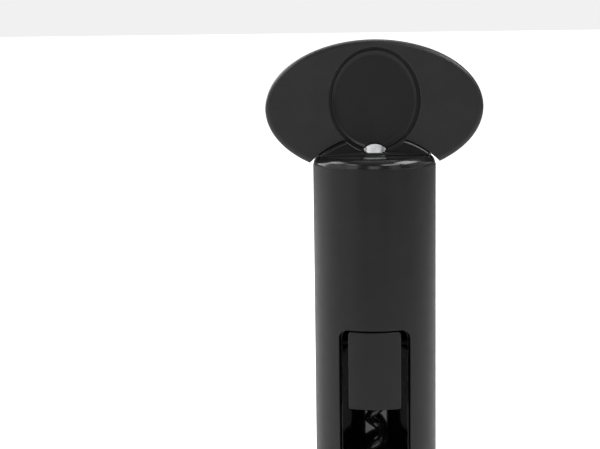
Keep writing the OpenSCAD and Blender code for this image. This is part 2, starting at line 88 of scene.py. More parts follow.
# Sizes repeated from the part's source.
BORE_R = BODY_R - 2.4
LINER_R = BORE_R - 0.1
LINER_BORE_R = LINER_R - 1.6
WINDOW_HALF_W, WINDOW_FOOT, WINDOW_TOP, WINDOW_R = 12.5, 40.0, 103.0, 3.3
LINER_LIP = 0.9
CAP_R, CAP_ROUND = 21.8, 3.2
PLATE_HALF_T, PLATE_ROUND = 4.5, 2.0
ARCH_R, ARCH_Z = 32.5, 138.0
FOOT_Z = CAP_TOP + 0.12
BRIDGE_Z = CAP_TOP + 0.9
OVAL_A, OVAL_B, OVAL_Z, RECESS = 16.2, 18.5, 182.9, 2.4
GROOVE = 0.8
REST_TURN = math.radians(4)
COLLAR_Z, COLLAR_R, DOME_H, DOME_R = 164.9, 4.4, 2.3, 5.358
BELLY_H, BELLY_R = 0.95, 10.664
NOTCH_GAP = 0.45
ROD_R = 3.5
WIRE_R, WORM_R, WORM_PITCH, WORM_TIP, WORM_PHASE = 1.55, 2.65, 12.4, 6.0, math.radians(-175)
HINGE_Y, HINGE_Z = -13.6, 97.5
SLEEVE_BORE_R, CORK_R, SEAT_Z, SEAT_T, SEAT_RING_T = 15.5, 12.8, 36.0, 2.6, 1.2
SCREW_POSTS = [(-10, 191), (10, 191), (-10.5, 175), (10.5, 175)]


# Mesh building

EDGE_REACH = 0.0004  # metres over which an edge's wear fades


class Soup:
    """Faces gathered from loose points and welded where the points agree."""

    def __init__(self):
        self.index, self.verts, self.faces = {}, [], []

    def face(self, points):
        ids = []
        for p in points:
            key = tuple(round(c, 4) for c in p)
            if key not in self.index:
                self.index[key] = len(self.verts)
                self.verts.append(key)
            if self.index[key] not in ids:
                ids.append(self.index[key])
        if len(ids) > 2:
            self.faces.append(ids)

    def grid(self, rows, closed=False):
        n = len(rows[0])
        for lower, upper in zip(rows, rows[1:]):
            for i in range(n if closed else n - 1):
                j = (i + 1) % n
                self.face([lower[i], lower[j], upper[j], upper[i]])

    def make(self, name, body, slot, replaced=(), turn=0.0, crease=32, look=None):
        mesh = bpy.data.meshes.new(name)
        mesh.from_pydata([Vector(v) * MM for v in self.verts], [], self.faces)
        if turn:
            mesh.transform(Matrix.Rotation(turn, 4, "Z"))
        bm = bmesh.new()
        bm.from_mesh(mesh)
        bmesh.ops.recalc_face_normals(bm, faces=bm.faces)
        edge_layer = bm.verts.layers.float.new("edge")
        for f in bm.faces:
            f.smooth = True
        limit = math.radians(crease)
        for e in bm.edges:
            if len(e.link_faces) != 2:
                continue
            angle = e.calc_face_angle_signed(0.0)
            e.smooth = abs(angle) < limit
            width = sum(f.calc_area() for f in e.link_faces) / 2 / max(e.calc_length(), 1e-9)
            bend = min(1.0, max(0.0, angle / max(width, 1e-6) * EDGE_REACH))
            for v in e.verts:
                v[edge_layer] = max(v[edge_layer], bend)
        bm.to_mesh(mesh)
        bm.free()
        obj = bpy.data.objects.new(name, mesh)
        bpy.context.scene.collection.objects.link(obj)
        even = obj.modifiers.new("even_normals", "WEIGHTED_NORMAL")
        even.keep_sharp = True
        mesh.materials.append(MATERIALS[look or slot])
        if body:
            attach(obj, body)
        if replaced:
            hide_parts(*replaced)
        return obj


def rounded(corners, steps=5):
    """Closed outline with each (a, b, radius) corner rounded. A radius of 0 stays sharp."""
    out = []
    for i, (a, b, r) in enumerate(corners):
        p = Vector((a, b))
        if r <= 0:
            out.append((a, b))
            continue
        u = (Vector(corners[i - 1][:2]) - p).normalized()
        w = (Vector(corners[(i + 1) % len(corners)][:2]) - p).normalized()
        half = u.angle(w) / 2
        centre = p + (u + w).normalized() * (r / math.sin(half))
        start = p + u * (r / math.tan(half)) - centre
        end = p + w * (r / math.tan(half)) - centre
        a0 = math.atan2(start.y, start.x)
        sweep = (math.atan2(end.y, end.x) - a0 + math.pi) % math.tau - math.pi
        for k in range(steps + 1):
            t = a0 + sweep * k / steps
            out.append((centre.x + r * math.cos(t), centre.y + r * math.sin(t)))
    return out


def lathe(soup, outline, n=96, centre=(0.0, 0.0)):
    """Turns a closed outline of radius and height about an upright axis."""
    rows = [[(centre[0] + r * math.cos(math.tau * i / n), centre[1] + r * math.sin(math.tau * i / n), z)
             for i in range(n)] for r, z in outline]
    soup.grid(rows + rows[:1], closed=True)


def sweep(soup, path, radii, sides):
    """Round tube along a path, closed at both ends."""
    rows = []
    side = Vector((1, 0, 0))
    for k, p in enumerate(path):
        ahead = (path[min(k + 1, len(path) - 1)] - path[max(k - 1, 0)]).normalized()
        side = (side - ahead * side.dot(ahead)).normalized()
        up = ahead.cross(side)
        rows.append([tuple(p + (side * math.cos(t) + up * math.sin(t)) * radii[k])
                     for t in (math.tau * i / sides for i in range(sides))])
    soup.grid(rows, closed=True)
    soup.face(rows[0])
    soup.face(rows[-1])


def inset(outline, gaps):
    """Moves every edge of a counter-clockwise outline inwards by its own gap."""
    points = [Vector(p) for p in outline]
    n = len(points)
    along = [(points[(i + 1) % n] - points[i]).normalized() for i in range(n)]
    inward = [Vector((-d.y, d.x)) for d in along]
    out = []
    for i in range(n):
        d, e = along[i - 1], along[i]
        cross = d.x * e.y - d.y * e.x
        p, q = points[i] + inward[i - 1] * gaps[i - 1], points[i] + inward[i] * gaps[i]
        if abs(cross) < 1e-3:
            out.append(tuple((p + q) / 2))
        else:
            t = ((q - p).x * e.y - (q - p).y * e.x) / cross
            out.append(tuple(p + d * t))
    return out


def rounding_levels(radii, steps=6):
    """Depths below a face, with the inset of each kind of edge at that depth."""
    depths = sorted({round(r * (1 - math.cos(math.pi / 2 * k / steps)), 3)
                     for r in radii.values() if r > 0 for k in range(steps + 1)} | {0.0})
    kept = [d for i, d in enumerate(depths) if i == 0 or d - depths[i - 1] > 0.004]
    levels = []
    for depth in kept:
        gaps = {}
        for kind, r in radii.items():
            gaps[kind] = r * (1 - math.sqrt(max(0.0, 1 - (1 - depth / r) ** 2))) if depth < r else 0.0
        levels.append((depth, gaps))
    return levels


def upright(points, y):
    return [(x, y, z) for x, z in points]


def layer(soup, outline, kinds, radii, y_face, y_back):
    """Closed slab in the plate's plane, rounded towards its face."""
    way = 1 if y_back > y_face else -1
    rows = [upright(inset(outline, [gaps[k] for k in kinds]), y_face + way * depth)
            for depth, gaps in rounding_levels(radii)]
    rows.append(upright(outline, y_back))
    soup.grid(rows, closed=True)
    soup.face(rows[0])
    soup.face(rows[-1])


# Materials

def socket(node, name, value):
    node.inputs[name].default_value = value


def finish(name, colour, rough, grain=0.0, grain_size=0.3, mottle=0.12, rough_spread=0.08, edge_lift=0.5,
           metallic=0.0, coat=0.0, coat_rough=0.05, specular=0.5, ior=1.5, streak=None, wave=0.0):
    """Moulded or turned surface: fine grain, slow mottling, and edges that are rubbed a little brighter."""
    mat = bpy.data.materials.new(name)
    mat.use_nodes = True
    tree = mat.node_tree
    bsdf = tree.nodes["Principled BSDF"]
    add, link = tree.nodes.new, tree.links.new
    coord = add("ShaderNodeTexCoord")
    place = add("ShaderNodeMapping")
    if streak:
        socket(place, "Scale", streak)
    link(coord.outputs["Object"], place.inputs["Vector"])

    def noise(size, detail=3.0):
        n = add("ShaderNodeTexNoise")
        socket(n, "Scale", 1 / (size * MM))
        socket(n, "Detail", detail)
        link(place.outputs["Vector"], n.inputs["Vector"])
        return n.outputs["Fac"]

    def spread(source, low, high):
        m = add("ShaderNodeMapRange")
        for key, value in (("From Min", 0.3), ("From Max", 0.7), ("To Min", low), ("To Max", high)):
            socket(m, key, value)
        link(source, m.inputs["Value"])
        return m.outputs["Result"]

    def maths(op, a, b):
        m = add("ShaderNodeMath")
        m.operation = op
        for i, x in enumerate((a, b)):
            if isinstance(x, (int, float)):
                m.inputs[i].default_value = x
            else:
                link(x, m.inputs[i])
        return m.outputs[0]

    edge = add("ShaderNodeAttribute")
    edge.attribute_name = "edge"
    worn = maths("MULTIPLY", edge.outputs["Fac"], spread(noise(1.4), 0.35, 1.0))
    tone = maths("MULTIPLY", spread(noise(9.0), 1 - mottle, 1 + mottle),
                 spread(noise(grain_size * 2), 0.93, 1.07))
    tone = maths("MULTIPLY", tone, maths("ADD", maths("MULTIPLY", worn, edge_lift), 1.0))
    paint = add("ShaderNodeVectorMath")
    paint.operation = "SCALE"
    paint.inputs[0].default_value = colour
    link(tone, paint.inputs["Scale"])
    link(paint.outputs["Vector"], bsdf.inputs["Base Color"])
    dull = spread(noise(3.5), rough * (1 - rough_spread), rough * (1 + rough_spread))
    dull = maths("ADD", dull, spread(noise(grain_size), -0.015, 0.015))
    smoother = maths("SUBTRACT", 1.0, maths("MULTIPLY", worn, 0.12))
    link(maths("MULTIPLY", dull, smoother), bsdf.inputs["Roughness"])
    heights = []
    if grain:
        heights.append((noise(grain_size, 2.0), grain))
    if wave:
        heights.append((noise(12.0, 1.0), wave))
    normal = None
    for height, depth in heights:
        bump = add("ShaderNodeBump")
        socket(bump, "Distance", depth * MM)
        socket(bump, "Strength", 1.0)
        link(height, bump.inputs["Height"])
        if normal:
            link(normal, bump.inputs["Normal"])
        normal = bump.outputs["Normal"]
    if normal:
        link(normal, bsdf.inputs["Normal"])
    socket(bsdf, "Metallic", metallic)
    socket(bsdf, "Specular IOR Level", specular)
    socket(bsdf, "IOR", ior)
    socket(bsdf, "Coat Weight", coat)
    socket(bsdf, "Coat Roughness", coat_rough)
    return mat


SATIN = dict(grain=0.004, grain_size=0.22, wave=0.004)
GLOSS = dict(grain=0.0006, mottle=0.06)

MATERIALS = {
    "satin_black": finish("satin_black", (0.0205, 0.0205, 0.0208), 0.36, **SATIN),
    # Satin black made darker for the body tube, tab and ears: painted shade that takes back the high
    # softboxes' light falling on the body.
    "satin_shaded_shell": finish("satin_shaded_shell", (0.0125, 0.0125, 0.0127), 0.36, specular=0.4, **SATIN),
    # Satin black at half the brightness for the ovals: painted shade of the recessed, dished inlays.
    "satin_dark": finish("satin_dark", (0.0105, 0.0105, 0.0107), 0.34, specular=0.42, **SATIN),
    "gloss_black": finish("gloss_black", (0.008, 0.008, 0.008), 0.12, grain_size=0.5, wave=0.003, **GLOSS),
    "cap_black": finish("cap_black", (0.012, 0.012, 0.012), 0.17, grain_size=0.5, wave=0.003,
                        specular=0.8, **GLOSS),
    "liner_black": finish("liner_black", (0.006, 0.006, 0.006), 0.07, grain_size=0.6, wave=0.004,
                          specular=1.0, ior=1.55, **GLOSS),
    # Near-black, dull finish for the tab pin: painted shade for the dark gap beside the tab, where the pin
    # shows.
    "pin_shaded_black": finish("pin_shaded_black", (0.004, 0.004, 0.004), 0.6, grain=0.004, grain_size=0.25,
                        specular=0.15),
    "matte_black": finish("matte_black", (0.014, 0.014, 0.014), 0.5, grain=0.008, grain_size=0.25),
    "rubber_black": finish("rubber_black", (0.012, 0.012, 0.012), 0.62, grain=0.012, grain_size=0.2,
                           edge_lift=0.3),
    "coated_wire": finish("coated_wire", (0.012, 0.012, 0.012), 0.16, grain=0.002, grain_size=0.4,
                          edge_lift=0.0, coat=0.4, coat_rough=0.08),
    "steel": finish("steel", (0.55, 0.56, 0.57), 0.26, grain=0.0015, grain_size=0.12, metallic=1.0,
                    edge_lift=0.1, mottle=0.05, streak=(1, 1, 6)),
    "chrome": finish("chrome", (0.86, 0.87, 0.88), 0.24, grain=0.0002, grain_size=0.6, metallic=1.0,
                     edge_lift=0.0, mottle=0.02),
    "nylon": finish("nylon", (0.018, 0.018, 0.018), 0.42, grain=0.004, grain_size=0.2),
}


# Body: tubes with a window in the front

# The window is meshed inside a rectangular frame on the tube's front, and its outline blends into the frame.
FRAME_HALF_W = 17.0
FRAME_FOOT_MARGIN, FRAME_TOP_MARGIN = 3.0, 4.5
FRONT_COLUMNS, BACK_COLUMNS, FRAME_ROWS, ARC_STEPS = 28, 68, 40, 4
FRONT_TURN = math.asin(FRAME_HALF_W / BODY_R)
FRONT_X = [BODY_R * math.sin(FRONT_TURN * (2 * i / FRONT_COLUMNS - 1)) for i in range(FRONT_COLUMNS + 1)]


def on_tube(x, z, r):
    return (x, -math.sqrt(r * r - x * x), z)


def back_arc(r, z):
    """Points behind the window's frame, from its right edge round the back to its left edge."""
    start = math.asin(FRAME_HALF_W / r)
    return [(r * math.sin(t), -r * math.cos(t), z) for t in
            (start + (math.tau - 2 * start) * k / BACK_COLUMNS for k in range(BACK_COLUMNS + 1))]


def ring(r, z):
    return [on_tube(x, z, r) for x in FRONT_X] + back_arc(r, z)[1:-1]


def round_loop(half_w, z0, z1, low_r, top_r=None):
    """Rounded rectangle whose points match those of the frame round it."""
    radii = [low_r, low_r, top_r or low_r, top_r or low_r]
    centres = [(-half_w + radii[0], z0 + radii[0]), (half_w - radii[1], z0 + radii[1]),
               (half_w - radii[2], z1 - radii[2]), (-half_w + radii[3], z1 - radii[3])]
    out = []
    for s, n in enumerate((FRONT_COLUMNS, FRAME_ROWS) * 2):
        base = math.radians(90 * s - 90)
        (ax, az), (bx, bz) = centres[s], centres[(s + 1) % 4]
        for i in range(n):
            near_end = i > n - ARC_STEPS
            bend = (i - ARC_STEPS if i < ARC_STEPS else i - n + ARC_STEPS if near_end else 0) / ARC_STEPS
            share = min(1.0, max(0.0, (i - ARC_STEPS) / (n - 2 * ARC_STEPS)))
            t = base + math.radians(45) * bend
            r = radii[s] + (radii[(s + 1) % 4] - radii[s]) * share
            out.append((ax + (bx - ax) * share + r * math.cos(t), az + (bz - az) * share + r * math.sin(t)))
    return out


def frame_loop(xs, zs):
    return ([(x, zs[0]) for x in xs[:-1]] + [(xs[-1], z) for z in zs[:-1]]
            + [(x, zs[-1]) for x in reversed(xs[1:])] + [(xs[0], z) for z in reversed(zs[1:])])


def blend_loops(a, b, steps):
    return [[(p[0] + (q[0] - p[0]) * k / steps, p[1] + (q[1] - p[1]) * k / steps) for p, q in zip(a, b)]
            for k in range(steps + 1)]


def wall(soup, r, z_lo, z_hi, hole):
    """One skin of a tube, with the hole's outline left open."""
    z0, z1 = max(WINDOW_FOOT - FRAME_FOOT_MARGIN, z_lo + 0.3), WINDOW_TOP + FRAME_TOP_MARGIN
    for a, b, steps in ((z_lo, z0, 8), (z1, z_hi, 10)):
        soup.grid([ring(r, a + (b - a) * k / steps) for k in range(steps + 1)], closed=True)
    zs = [z0 + (z1 - z0) * k / FRAME_ROWS for k in range(FRAME_ROWS + 1)]
    soup.grid([back_arc(r, z) for z in zs])
    loops = blend_loops(frame_loop(FRONT_X, zs), hole, 5)
    soup.grid([[on_tube(x, z, r) for x, z in loop] for loop in loops], closed=True)


def windowed_tube(name, slot, look, replaced, r_out, r_in, z_lo, z_hi, window, lip_round, end_round):
    """Tube with a rounded window, whose outer edges are rounded too."""
    half_w, z0, z1, corner = window
    steps = 5
    turns = [math.pi / 2 * k / steps for k in range(steps + 1)]
    soup = Soup()
    wall(soup, r_out, z_lo + end_round, z_hi - end_round, round_loop(
        half_w + lip_round, z0 - lip_round, z1 + lip_round, corner + lip_round))
    wall(soup, r_in, z_lo, z_hi, round_loop(half_w, z0, z1, corner))
    lip = []
    for t in turns:
        grow = lip_round * (1 - math.sin(t))
        loop = round_loop(half_w + grow, z0 - grow, z1 + grow, corner + grow)
        lip.append([on_tube(x, z, r_out - lip_round * (1 - math.cos(t))) for x, z in loop])
    lip.append([on_tube(x, z, r_in) for x, z in round_loop(half_w, z0, z1, corner)])
    soup.grid(lip, closed=True)
    for end, way in ((z_hi, 1), (z_lo, -1)):
        rim = [ring(r_out - end_round * (1 - math.cos(t)), end - way * end_round * (1 - math.sin(t)))
               for t in turns]
        soup.grid(rim + [ring(r_in, end)], closed=True)
    return soup.make(name, "housing", slot, replaced, look=look)


windowed_tube("shell_tube", "satin_black", "satin_shaded_shell", ["body_shell"], BODY_R, BORE_R, RIM_Z,
              SHOULDER_Z, (WINDOW_HALF_W, WINDOW_FOOT, WINDOW_TOP, WINDOW_R), 0.35, 0.12)
windowed_tube("liner_tube", "gloss_black", "liner_black", ["inner_liner"], LINER_R, LINER_BORE_R,
              LINER_FOOT, LINER_TOP,
              (WINDOW_HALF_W - LINER_LIP, WINDOW_FOOT + LINER_LIP, WINDOW_TOP - 0.1, WINDOW_R), 0.25, 0.2)

# Cap, washer and the parts of the mouth, all turned
cap = Soup()
lathe(cap, rounded([
    (7.6, WASHER_TOP - 1.3, 0), (7.6, CAP_TOP, 0.2), (CAP_R, CAP_TOP, CAP_ROUND),
    (CAP_R, SHOULDER_Z - 0.1, 0), (19.3, SHOULDER_Z - 0.1, 0), (19.3, 154.2, 0.4), (17.7, 154.2, 0.4),
    (17.7, 159.4, 0.6), (9.0, 159.4, 0.6),
    (9.0, 154.2, 0.3), (7.6, 154.2, 0.2)], 9), 144)
cap.make("cap_dome", "housing", "gloss_black", ["top_cap"], look="cap_black")

sleeve = Soup()
lathe(sleeve, rounded([
    (LINER_R, RIM_Z + 0.02, 0.2), (LINER_R, SEAT_Z + SEAT_T, 0.3), (CORK_R, SEAT_Z + SEAT_T, 0.6),
    (CORK_R, SEAT_Z, 0.3), (SLEEVE_BORE_R, SEAT_Z, 0.4), (SLEEVE_BORE_R, RIM_Z + 6, 2.0),
    (SLEEVE_BORE_R + 2, RIM_Z + 0.02, 0)]), 112)
sleeve.make("mouth_sleeve", "housing", "matte_black", ["neck_sleeve"])

seat = Soup()
lathe(seat, rounded([
    (CORK_R, SEAT_Z - SEAT_RING_T, 0.25), (SLEEVE_BORE_R - 0.1, SEAT_Z - SEAT_RING_T, 0.25),
    (SLEEVE_BORE_R - 0.1, SEAT_Z, 0), (CORK_R, SEAT_Z, 0)], 4), 96)
seat.make("seat_ring", "housing", "rubber_black", ["seat_washer"])

foot_ring = Soup()
lathe(foot_ring, rounded([
    (SLEEVE_BORE_R + 2, 0, 0.5), (BODY_R, 0, 1.0), (BODY_R, RIM_Z, 0.15),
    (SLEEVE_BORE_R + 2, RIM_Z, 0)]), 128)
foot_ring.make("foot_ring", "housing", "rubber_black", ["rim_ring"])

washer = Soup()
lathe(washer, rounded([
    (ROD_R + 0.06, WASHER_TOP - 1.4, 0), (7.5, WASHER_TOP - 1.4, 0), (7.5, WASHER_TOP, 0.3),
    (ROD_R + 0.06, WASHER_TOP, 0.3)]), 96)
washer.make("washer_ring", "lift_ring", "nylon", ["lift_washer"])


# Press tab

TAB_T = 2.8
TAB_MARGIN = 2.2  # between the tab's edge and the even grid inside it


def tab_rows(half_w, z0, z1, corners, inner, outer_r, inner_r, edge):
    """Rows from the tab's outer face, over its rounded edge, to its inner face."""
    rows = [(x, z, outer_r) for x, z in inner]
    out = [rows]
    steps = 5
    for k in range(steps + 1):
        t = math.pi / 2 * k / steps
        gap = edge * (1 - math.sin(t))
        loop = round_loop(half_w - gap, z0 + gap, z1 - gap, *[max(r - gap, 0.15) for r in corners])
        out.append([(x, z, outer_r - edge * (1 - math.cos(t))) for x, z in loop])
    for k in range(steps + 1):
        t = math.pi / 2 * k / steps
        gap = 0.3 * (1 - math.cos(t))
        loop = round_loop(half_w - gap, z0 + gap, z1 - gap, *[max(r - gap, 0.15) for r in corners])
        out.append([(x, z, inner_r + 0.3 * (1 - math.sin(t))) for x, z in loop])
    out.append([(x, z, inner_r) for x, z in inner])
    return [[on_tube(*p) for p in row] for row in out]


def press_tab():
    """Tab that continues the body's curve, rounded at its corners and edges."""
    soup = Soup()
    half_w, z0, z1 = TAB_HALF_W, TAB_FOOT, TAB_TOP
    inner_r = BODY_R - TAB_T
    xs = [(half_w - TAB_MARGIN) * (2 * i / FRONT_COLUMNS - 1) for i in range(FRONT_COLUMNS + 1)]
    zs = [z0 + TAB_MARGIN + (z1 - z0 - 2 * TAB_MARGIN) * k / FRAME_ROWS for k in range(FRAME_ROWS + 1)]
    soup.grid(tab_rows(half_w, z0, z1, (0.7, 1.4), frame_loop(xs, zs), BODY_R, inner_r, 0.4), closed=True)
    for r in (BODY_R, inner_r):
        soup.grid([[on_tube(x, z, r) for x in xs] for z in zs])
    return soup.make("press_tab", "tab", "satin_black", ["release_tab"], look="satin_shaded_shell")


press_tab()


def tab_ears():
    """Ears that hang on the pin, each a drilled plate."""
    soup = Soup()
    n = 40
    ear_r, hole_r, edge = 2.6, 1.05, 0.3
    for side in (-1, 1):
        x_out, x_in = side * TAB_HALF_W, side * (TAB_HALF_W - 3)
        outer, hole = [], []
        for i in range(n):
            t = math.tau * i / n
            c, s = math.cos(t), math.sin(t)
            reach = 1.0 if c > 0 else 1 + 1.35 * min(1.0, -c * 1.6)
            outer.append((HINGE_Y + ear_r * c * reach, HINGE_Z + ear_r * s))
            hole.append((HINGE_Y + hole_r * c, HINGE_Z + hole_r * s))
        rows = []
        for x, loop, gap in ((x_in, hole, 0), (x_in, outer, edge), (x_in + side * edge, outer, 0),
                             (x_out - side * edge, outer, 0), (x_out, outer, edge), (x_out, hole, 0),
                             (x_in, hole, 0)):
            shrink = 1 - gap / ear_r
            rows.append([(x, HINGE_Y + (y - HINGE_Y) * shrink, HINGE_Z + (z - HINGE_Z) * shrink)
                         for y, z in loop])
        soup.grid(rows, closed=True)
    return soup.make("tab_ears", "tab", "satin_black", look="satin_shaded_shell")


tab_ears()


# Handle: everything is drawn in the plate's plane, in x and z, and turned to where the handle rests

def arc_points(cx, cz, a, b, start, end, n):
    """Points on an ellipse from one angle to another, both ends included."""
    return [(cx + a * math.cos(t), cz + b * math.sin(t)) for t in
            (start + (end - start) * k / n for k in range(n + 1))]


def crossing(f, low, high):
    """Where f changes sign between two values."""
    for _ in range(60):
        mid = (low + high) / 2
        if (f(mid) > 0) == (f(low) > 0):
            low = mid
        else:
            high = mid
    return (low + high) / 2


def arch_at(x, r=ARCH_R):
    return ARCH_Z + math.sqrt(r * r - x * x)


def oval_below(x, a=OVAL_A, b=OVAL_B):
    return OVAL_Z - b * math.sqrt(max(0.0, 1 - (x / a) ** 2))


def angle_on(cz, a, b, x, z):
    return math.atan2((z - cz) / b, x / a)


TIP_X = crossing(lambda x: arch_at(x) - (PLATE_Z - PLATE_B * math.sqrt(1 - (x / PLATE_A) ** 2)), 15, 30)
TIP = (TIP_X, arch_at(TIP_X))
CROSS_X = crossing(lambda x: arch_at(x) - oval_below(x), 5, 15)
CROSS = (CROSS_X, arch_at(CROSS_X))
RIM_START = angle_on(PLATE_Z, PLATE_A, PLATE_B, *TIP)
OVAL_START = angle_on(OVAL_Z, OVAL_A, OVAL_B, *CROSS)
ARCH_TIP = math.atan2(TIP[1] - ARCH_Z, TIP[0])
ARCH_CROSS = math.atan2(CROSS[1] - ARCH_Z, CROSS[0])


def plate_half(side, name, node):
    """Half of the plate: the face round the oval, the recess's floor, and the plain back."""
    soup = Soup()
    edge = arc_points(0, PLATE_Z, PLATE_A, PLATE_B, RIM_START, math.pi - RIM_START, 150)
    left = arc_points(0, ARCH_Z, ARCH_R, ARCH_R, math.pi - ARCH_TIP, math.pi - ARCH_CROSS, 22)
    oval = arc_points(0, OVAL_Z, OVAL_A, OVAL_B, math.pi - OVAL_START, OVAL_START, 110)
    middle = arc_points(0, ARCH_Z, ARCH_R, ARCH_R, math.pi - ARCH_CROSS, ARCH_CROSS, 24)
    right = arc_points(0, ARCH_Z, ARCH_R, ARCH_R, ARCH_CROSS, ARCH_TIP, 22)
    outline = edge + left[1:] + oval[1:] + right[1:-1]
    kinds = (["rim"] * (len(edge) - 1) + ["arch"] * (len(left) - 1) + ["oval"] * (len(oval) - 1)
             + ["arch"] * (len(right) - 1))
    radii = {"rim": PLATE_ROUND, "arch": 0.3, "oval": 0.4}
    rows = [upright(inset(outline, [gaps[k] for k in kinds]), side * (PLATE_HALF_T - depth))
            for depth, gaps in rounding_levels(radii, 7)]
    rows.append(upright(outline, side * RECESS))
    soup.grid(rows, closed=True)
    soup.face(rows[0])
    soup.face(upright(oval + middle[::-1][1:-1], side * RECESS))
    full = edge + left[1:] + middle[1:] + right[1:-1]
    back = [upright(full, side * RECESS), upright(full, side * 0.16),
            upright(inset(full, [0.1] * len(full)), side * 0.04)]
    soup.grid(back, closed=True)
    soup.face(back[-1])
    return soup.make(name, "handle", "satin_black", [node], REST_TURN)


plate_half(-1, "plate_front", "handle_front")
plate_half(1, "plate_rear", "handle_rear")

NOTCH_Z = COLLAR_Z + DOME_H - DOME_R
NOTCH_R = DOME_R + NOTCH_GAP
NOTCH_HALF_W = COLLAR_R + NOTCH_GAP
NOTCH_SHOULDER = (NOTCH_HALF_W, NOTCH_Z + math.sqrt(NOTCH_R ** 2 - NOTCH_HALF_W ** 2))


def notch_at(x):
    return NOTCH_Z + math.sqrt(NOTCH_R ** 2 - x * x)


LIP_STEP, LIP_H = 0.25, 0.5
COLLAR_GAP = 0.06


def foot():
    """Glossy foot: a thin segment in the middle and a horned face with the collar's slot on each side."""
    soup = Soup()
    r = ARCH_R - 0.1
    end_x = math.sqrt(r * r - (FOOT_Z - ARCH_Z) ** 2)
    horn_x = crossing(lambda x: arch_at(x, r) - oval_below(x), 5, 15)
    horn = (horn_x, arch_at(horn_x, r))
    arch_end = math.atan2(FOOT_Z - ARCH_Z, end_x)
    arch_horn = math.atan2(horn[1] - ARCH_Z, horn[0])
    meet_x = crossing(lambda x: notch_at(x) - oval_below(x), 2, NOTCH_HALF_W)
    meet = (meet_x, notch_at(meet_x))
    arch = arc_points(0, ARCH_Z, r, r, arch_end, arch_horn, 28)
    oval = arc_points(0, OVAL_Z, OVAL_A, OVAL_B, angle_on(OVAL_Z, OVAL_A, OVAL_B, *horn),
                      angle_on(OVAL_Z, OVAL_A, OVAL_B, *meet), 24)
    cut = arc_points(0, NOTCH_Z, NOTCH_R, NOTCH_R, math.atan2(meet[1] - NOTCH_Z, meet[0]),
                     math.atan2(NOTCH_SHOULDER[1] - NOTCH_Z, NOTCH_SHOULDER[0]), 3)
    horn_side = arch + oval[1:] + cut[1:] + [(NOTCH_HALF_W, BRIDGE_Z)]
    side_kinds = ["arch"] * (len(arch) - 1) + ["oval"] * (len(oval) - 1) + ["notch"] * len(cut)
    outline = horn_side + [(-x, z) for x, z in horn_side[::-1]]
    kinds = side_kinds + ["notch"] + side_kinds[::-1] + ["base"]
    radii = {"base": 0.1, "arch": 1.2, "oval": 0.35, "notch": 0.2}
    for face in (-1, 1):
        layer(soup, outline, kinds, radii, face * (FOOT_HALF_T - LIP_STEP), face * (RECESS - 0.02))
        lip = [(-end_x + 1, FOOT_Z), (end_x - 1, FOOT_Z), (end_x - 1, FOOT_Z + LIP_H),
               (-end_x + 1, FOOT_Z + LIP_H)]
        layer(soup, lip, ["under", "side", "top", "side"], {"under": 0.05, "side": 0.2, "top": 0.25},
              face * FOOT_HALF_T, face * (FOOT_HALF_T - 1))
    top = arc_points(0, ARCH_Z, r, r, arch_end, math.pi - arch_end, 72)
    tight_r = DOME_R + COLLAR_GAP
    tight = math.acos((COLLAR_R + COLLAR_GAP) / tight_r)
    notch = arc_points(0, NOTCH_Z, tight_r, tight_r, math.pi - tight, tight, 24)
    middle = [(COLLAR_R + COLLAR_GAP, FOOT_Z)] + top + [(-COLLAR_R - COLLAR_GAP, FOOT_Z)] + notch
    rows = [upright(middle, -RECESS), upright(middle, RECESS)]
    soup.grid(rows, closed=True)
    soup.face(rows[0])
    soup.face(rows[1])
    return soup.make("handle_foot", "handle", "gloss_black", ["handle_core"], REST_TURN)


foot()

# The inlay's profile: distance from its edge, and height over the recess's floor.
DISH = [(0.0, 0.0), (0.0, 0.9), (0.04, 1.06), (0.14, 1.19), (0.3, 1.25), (0.5, 1.22), (0.75, 1.1),
        (1.05, 0.93), (1.35, 0.79), (1.65, 0.71), (2.1, 0.68), (3.0, 0.68)]


def inlay(side, name, node):
    """Dished oval with a raised lip, cut out over the collar."""
    soup = Soup()
    a, b = OVAL_A - GROOVE, OVAL_B - GROOVE
    x = crossing(lambda x: notch_at(x) - oval_below(x, a, b), 1, NOTCH_HALF_W)
    z = notch_at(x)
    start = angle_on(OVAL_Z, a, b, x, z)
    edge = arc_points(0, OVAL_Z, a, b, start, math.pi - start, 150)
    cut_start = math.atan2(z - NOTCH_Z, x)
    cut = arc_points(0, NOTCH_Z, NOTCH_R, NOTCH_R, math.pi - cut_start, cut_start, 20)
    # The edge runs from the right of the notch over the top, as the outline has to be counter-clockwise.
    outline = edge + cut[1:-1]
    kinds = ["rim"] * (len(edge) - 1) + ["cut"] * (len(cut) - 1)
    rows = [upright(inset(outline, [gap if k == "rim" else 0.0 for k in kinds]), side * (RECESS + rise))
            for gap, rise in DISH]
    soup.grid(rows, closed=True)
    soup.face(rows[0])
    soup.face(rows[-1])
    # The inlay takes the darkened satin, painted shade of the recess.
    return soup.make(name, "handle", "satin_dark", [node], REST_TURN)


inlay(-1, "oval_front", "inlay_front")
inlay(1, "oval_rear", "inlay_rear")


def rear_screws():
    """Four round heads with a hexagonal socket, a little proud of the rear dish's floor."""
    soup = Soup()
    n = 36
    top = RECESS + 0.7
    for px, pz in SCREW_POSTS:
        def loop(y, reach_at):
            turns = [math.tau * i / n for i in range(n)]
            return [(px + reach_at(t) * math.cos(t), y, pz + reach_at(t) * math.sin(t)) for t in turns]

        def circle(r, y):
            return loop(y, lambda t: r)

        def hexagon(r, y):
            sixth = math.pi / 3
            return loop(y, lambda t: r * math.cos(sixth / 2) / math.cos((t + sixth / 2) % sixth - sixth / 2))

        rows = [circle(1.9, RECESS - 0.5), circle(1.9, top + 0.05), circle(1.86, top + 0.15),
                circle(1.75, top + 0.2), hexagon(0.95, top + 0.2), hexagon(0.88, top + 0.1),
                hexagon(0.88, top - 0.5)]
        soup.grid(rows, closed=True)
        soup.face(rows[0])
        soup.face(rows[-1])
    return soup.make("rear_screws", "handle", "steel", ["handle_screws"], REST_TURN)


rear_screws()


COLLAR_TAPER, COLLAR_SQUARENESS = 0.6, 6


